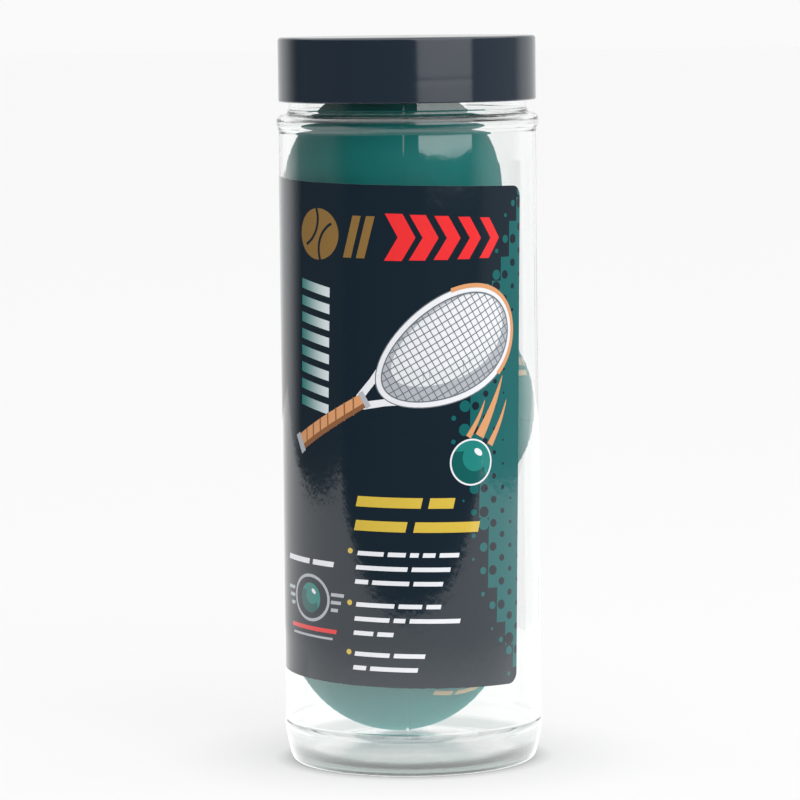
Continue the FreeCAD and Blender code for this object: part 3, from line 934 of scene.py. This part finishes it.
def makePrint():
    bounce = ballPrint(*art["flyingBall"])
    badge = ballPrint(*art["badgeBall"])

    # tapered streaks behind the flying ball
    trail = []
    for aside, length, wide in art["streaks"]:
        steps = [i / 12 for i in range(13)]
        line = [(59.4 + aside * 0.9 + 0.42 * length * t + 0.9 * sin(2.2 * t), 0.4 - abs(aside) * 0.34
                 - aside * 0.30 + length * t) for t in steps]
        trail += band(line, [wide * (1 - t) ** 0.7 + 0.06 for t in steps])

    # title zone: a ball, bars and arrows
    x, y, r = art["titleBall"]
    goldFlat = [disc(x, y, r, r, 44)]
    goldFlat += [slantBar(22.2 + 3.7 * i, 24.5 + 3.7 * i, 45.6, 56.4, 0.24) for i in range(2)]
    goldSeam = stroke(curve(6.6, 55.0, 7.4, -64, 24, 14), 0.7)
    goldSeam += stroke(curve(21.8, 47.4, 7.4, 116, 204, 14), 0.7)
    redArrows = []
    for i in range(art["arrows"]):
        redArrows += chevron(33.4 + 6.3 * i, 45.2 + 0.2 * i, 57.2 - 0.2 * i, 4.5 - 0.4 * i, 3.4)

    # upright motif of slanted dashes
    dashes = [[(8.0, y), (18.2, y - 1.9), (18.2, y + 0.6), (8.0, y + 2.5)]
              for y in (37.0 - 4.3 * i for i in range(art["dashes"]))]

    headings, lines = [], []
    for x, y, words, gap in art["headings"]:
        headings += wordBars(x, y, words, art["headingHeight"], gap)
    for x, y, words in art["lines"]:
        lines += wordBars(x, y, words, art["lineHeight"], 1.1)
    lines += wordBars(0.4, -34.4, (11.0, 7.4), 1.4, 1.4)
    headings += [disc(25.4, y, 0.72, 0.72, 16) for y in (-29.6, -43.0, -55.8)]

    # badge beside the lines
    badgeSilver = ring(disc(12.0, -43.2, 7.2, 6.2, 40), disc(12.0, -43.2, 6.4, 5.4, 40))
    for i in range(3):
        badgeSilver += [slantBar(0.2 + 0.9 * i, 4.3, -42.0 - 2.0 * i, -41.1 - 2.0 * i),
                        slantBar(19.5, 23.6 - 0.9 * i, -42.0 - 2.0 * i, -41.1 - 2.0 * i)]
    badgeSilver += [slantBar(3.6, 20.2, -53.4, -52.8)]
    badgeRed = [slantBar(2.6, 21.4, -51.7, -50.6)]

    # the rest of the wrap, out of the photograph's sight
    bold, plain, fine = art["courtLine"]
    lines += stroke([(-40, 52), (-14, 52), (-14, 4), (-40, 4), (-40, 52)], bold)
    lines += stroke([(-40, 28), (-14, 28)], plain) + stroke([(-40, 21.6), (-14, 21.6)], plain)
    lines += stroke([(-36.2, 28), (-36.2, 21.6)], fine) + stroke([(-17.8, 28), (-17.8, 21.6)], fine)
    for i, words in enumerate(art["backLines"]):
        lines += wordBars(-39.6, -6.0 - 3.6 * i, words, art["lineHeight"], 1.2)
    headings += wordBars(-39.6, -0.4, (12.0, 9.0), 2.2, 1.6)
    lines += [roundedRect(*art["panel"])]
    bars, x = [], -37.4
    for wide, gap in art["panelBars"]:
        bars.append([(x, -55.8), (x + wide, -55.8), (x + wide, -42.2), (x, -42.2)])
        x += wide + gap

    layers = [
        ("gold", "gold", goldFlat, 3), ("gold_seams", "navy", goldSeam, 4),
        ("red", "red", redArrows + badgeRed, 3), ("dashes", "fade", dashes, 3),
        ("headings", "yellow", headings, 3), ("lines", "white", lines, 3),
        ("badge", "silver", badgeSilver, 3), ("badge_ball", "teal", badge["ball"], 3),
        ("badge_shade", "deepTeal", badge["shade"], 4), ("badge_glint", "white", badge["glint"], 5),
        ("panel_bars", "navy", bars, 4), *racquetPrint(),
        ("trail", "tan", trail, 9), ("ball", "teal", bounce["ball"], 10),
        ("ball_shade", "deepTeal", bounce["shade"], 11),
        ("ball_light", "white", bounce["rim"] + bounce["glint"], 12),
    ]
    for name, colour, polygons, layer in layers:
        printed("print_" + name, colour, flatShapes(*polygons), layer)
    w, h = label["width"] / 2 - 0.04, label["height"] / 2 - 0.04
    for tag, side in (("right", 1), ("left", -1)):
        for name, colour, flipped, cells, layer in (
                ("cells", "screen", False, True, 1), ("dots", "screen", False, False, 1),
                ("holes", "navy", True, False, 2)):
            mesh = flatHalftone(flipped, cells)
            for v in mesh.verts:
                v.co.x *= side
            trimmed(mesh, roundedRect(-w, -h, w, h, label["corner"]))
            printed(f"print_{name}_{tag}", colour, mesh, layer)


halftoneNodes = halftoneTree()
makePrint()
print("label print made")


# each ball's mark in degrees round from the front, and up
marks = {"bottom": (42.0, -29.0), "middle": (58.0, 25.0), "top": (118.0, 8.0), "slice": 0.9, "lift": 0.03}


def markBall(name):
    x, z = ball["centres"][name]
    around, up = (radians(v) for v in marks[name])
    out = Vector((cos(up) * sin(around), -cos(up) * cos(around), sin(up)))
    right = Vector((cos(around), sin(around), 0))
    top = out.cross(right)
    top = top if top.z > 0 else -top

    def onBall(u, v, lift):
        direction = (out + right * (u / ball["radius"]) + top * (v / ball["radius"])).normalized()
        return (Vector((x, 0, z)) + direction * (ball["radius"] + lift)) * mm

    bars = [slantBar(-9.0 + 3.4 * i, -6.8 + 3.4 * i, -0.6, 3.4 - 0.3 * i, 0.25) for i in range(6)]
    mesh = flatShapes(*bars, *wordBars(-8.6, -3.4, (6.0, 9.6), 1.5, 1.2))
    for axis in (0, 1):
        sliced(mesh, marks["slice"], axis)
    printed(f"{name}_ball_mark", "markGold", mesh, 1, onBall, marks["lift"], f"{name}_ball", "ball_rubber")


for name in ball["centres"]:
    markBall(name)
print("ball marks made")


camera = {
    "height": 200.74, "distance": 1122.95, "side": -2.72, "pitch": degrees(0.0943), "roll": degrees(0.0111),
    "focal": 4296.9, "image": 800, "sensor": 36.0, "clip": (0.05, 60),
}


def makeCamera():
    data = bpy.data.cameras.new("camera")
    data.sensor_width = camera["sensor"]
    data.lens = camera["focal"] / camera["image"] * camera["sensor"]
    data.clip_start, data.clip_end = camera["clip"]
    made = linked("camera", data)
    made.matrix_world = (
        Matrix.Translation((camera["side"] * mm, -camera["distance"] * mm, camera["height"] * mm))
        @ Matrix.Rotation(radians(90 - camera["pitch"]), 4, "X")
        @ Matrix.Rotation(-radians(camera["roll"]), 4, "Z"))
    bpy.context.scene.camera = made


stage = {
    "floor": (-14.0, 14.0, -14.0, 14.0), "table": (-0.65, 0.65, -0.32, 0.9),
    # the floor as the camera sees it, darker where the can shades it
    "glow": 0.70, "white": 0.234, "under": 0.62, "reach": 0.035, "contact": 0.5, "close": 0.005,
    # the table through the clear plastic, from the axis outward with painted light under the base, and as the
    # plastic mirrors it
    "tableGlow": (1.03, 0.94), "gather": (0.034, 0.045), "sheen": (3.0, 1.5), "sheenBack": 1.75,
    "sheenEdge": 0.03, "near": (0.10, 0.26),
    # the room as the plastic mirrors it
    "dark": 0.03, "backLeft": (0.38, 0.80), "backRight": (0.25, 0.60), "veil": (0.80, 0.97), "leftVeil": 0.08,
    "rightVeil": 0.30, "aboveFrom": (0.3, 0.7), "above": 2.5,
    # the room through the clear plastic, to the camera, and as the light that fills the shade
    "side": (-0.62, -0.20), "throughLeft": (0.03, 0.42), "throughRight": (0.08, 0.95), "back": (0.25, 0.60),
    "throughBack": 1.0, "throughAbove": 0.9, "seen": 0.955, "fill": 0.62,
}


def shaded(tree, reach, darkest, full):
    made = addNode(tree, "AmbientOcclusion", {"samples": 8}, Distance=reach)
    return between(tree, made.outputs["AO"], darkest, full)


def paleFloor():
    material, tree = newMaterial("pale_floor")
    around = shaded(tree, stage["reach"], stage["glow"] * stage["under"], stage["glow"])
    strength = calc(tree, "MULTIPLY", around, shaded(tree, stage["close"], stage["contact"], 1.0))
    matt = addNode(tree, "BsdfDiffuse", Color=(stage["white"],) * 3 + (1,))
    surface(tree, addNode(tree, "AddShader", i0=glowing(tree, strength), i1=matt))
    return material


def tableGlow():  # painted light: glows brighter under the base, standing in for the light the base gathers
    material, tree = newMaterial("table_glow")
    surface(tree, glowing(tree, between(tree, fromAxis(tree), *stage["tableGlow"], *stage["gather"])))
    return material


def tableSheen():  # brighter close to the can, in front of it
    material, tree = newMaterial("table_sheen")
    edge = stage["sheenEdge"]
    limit = between(tree, coordinate(tree, "Y"), stage["sheen"][0], stage["sheenBack"], -edge, edge)
    strength = calc(tree, "MINIMUM", limit, between(tree, fromAxis(tree), *stage["sheen"], *stage["near"]))
    surface(tree, glowing(tree, strength))
    return material


def stagePlane(name, bounds, height, material, *hidden):
    x0, x1, y0, y1 = bounds
    mesh = flatShapes([(x0, y0), (x1, y0), (x1, y1), (x0, y1)])
    for v in mesh.verts:
        v.co.z = height
    made = linked(name, meshData(name, mesh), hidden)
    made.data.materials.append(material)


def makeWorld():
    world = bpy.data.worlds.new("studio")
    bpy.context.scene.world = world
    world.use_nodes = True
    tree = world.node_tree
    tree.nodes.clear()
    toward = addNode(tree, "TexCoord").outputs["Generated"]
    x, y, z = addNode(tree, "SeparateXYZ", Vector=toward).outputs
    onRight = calc(tree, "GREATER_THAN", x, 0.0)
    veilFrom, veilTo = stage["veil"]

    def ramp(value, *numbers):
        return smoothly(tree, value, *numbers)

    back = choose(tree, onRight, ramp(y, *stage["backLeft"], stage["dark"], 1.0),
                  ramp(y, *stage["backRight"], stage["dark"], 1.0))
    mirrored = highest(tree, back, ramp(z, *stage["aboveFrom"], 0.0, stage["above"]),
                       ramp(x, veilFrom, veilTo, 0.0, stage["rightVeil"]),
                       ramp(x, -veilFrom, -veilTo, 0.0, stage["leftVeil"]))
    side = choose(tree, onRight, ramp(y, *stage["side"], *stage["throughLeft"]),
                  ramp(y, *stage["side"], *stage["throughRight"]))
    through = highest(tree, side, ramp(y, *stage["back"], 0.0, stage["throughBack"]),
                      ramp(z, *stage["aboveFrom"], 0.0, stage["throughAbove"]))
    rays = addNode(tree, "LightPath").outputs
    strength = choose(tree, rays["Is Glossy Ray"], stage["fill"], mirrored)
    strength = choose(tree, rays["Is Transmission Ray"], strength, through)
    strength = choose(tree, rays["Is Camera Ray"], strength, stage["seen"])
    light = addNode(tree, "Background", Color=(1, 1, 1, 1), Strength=strength)
    addNode(tree, "OutputWorld", Surface=light)


def aimed(name, kind, power, toward, *hidden):
    data = bpy.data.lights.new(name, kind)
    data.energy = power
    made = linked(name, data, hidden)
    made.rotation_mode = "QUATERNION"
    made.rotation_quaternion = Vector(toward).to_track_quat("-Z", "Y")
    return made


def areaLight(name, place, aim, size, power, *hidden):
    made = aimed(name, "AREA", power, Vector(aim) - Vector(place), *hidden)
    made.location = place
    made.data.shape = "RECTANGLE"
    made.data.size, made.data.size_y = size


def softSun(name, source, strength, spread):
    made = aimed(name, "SUN", strength, -Vector(source), "camera", "glossy", "transmission")
    made.data.angle = radians(spread)


makeCamera()
makeWorld()
stagePlane("pale_floor", stage["floor"], -0.00002, paleFloor(), "glossy", "transmission")
stagePlane("pale_table", stage["table"], -0.00003, tableGlow(), "camera", "glossy", "diffuse", "shadow")
stagePlane("table_sheen", stage["table"], -0.00001, tableSheen(), "camera", "diffuse", "transmission",
           "shadow")
areaLight("softbox", (0.693, -1.028, 0.628), (0, 0, 0.15), (1.32, 1.12), 10.2, "camera")
areaLight("light_table", (0, 0, 0.0002), (0, 0, 1), (0.06, 0.06), 0.08, "camera", "glossy", "transmission")
softSun("top_light", (0.1, -0.35, 1.0), 0.98, 60)
softSun("front_light", (0.35, -1.0, 0.15), 0.6, 50)
softSun("right_light", (1.0, 0.25, 0.1), 1.15, 40)
softSun("left_light", (-1.0, 0.2, 0.15), 0.8, 40)
bpy.context.scene.view_settings.view_transform = "Standard"
print("stage and lights made")
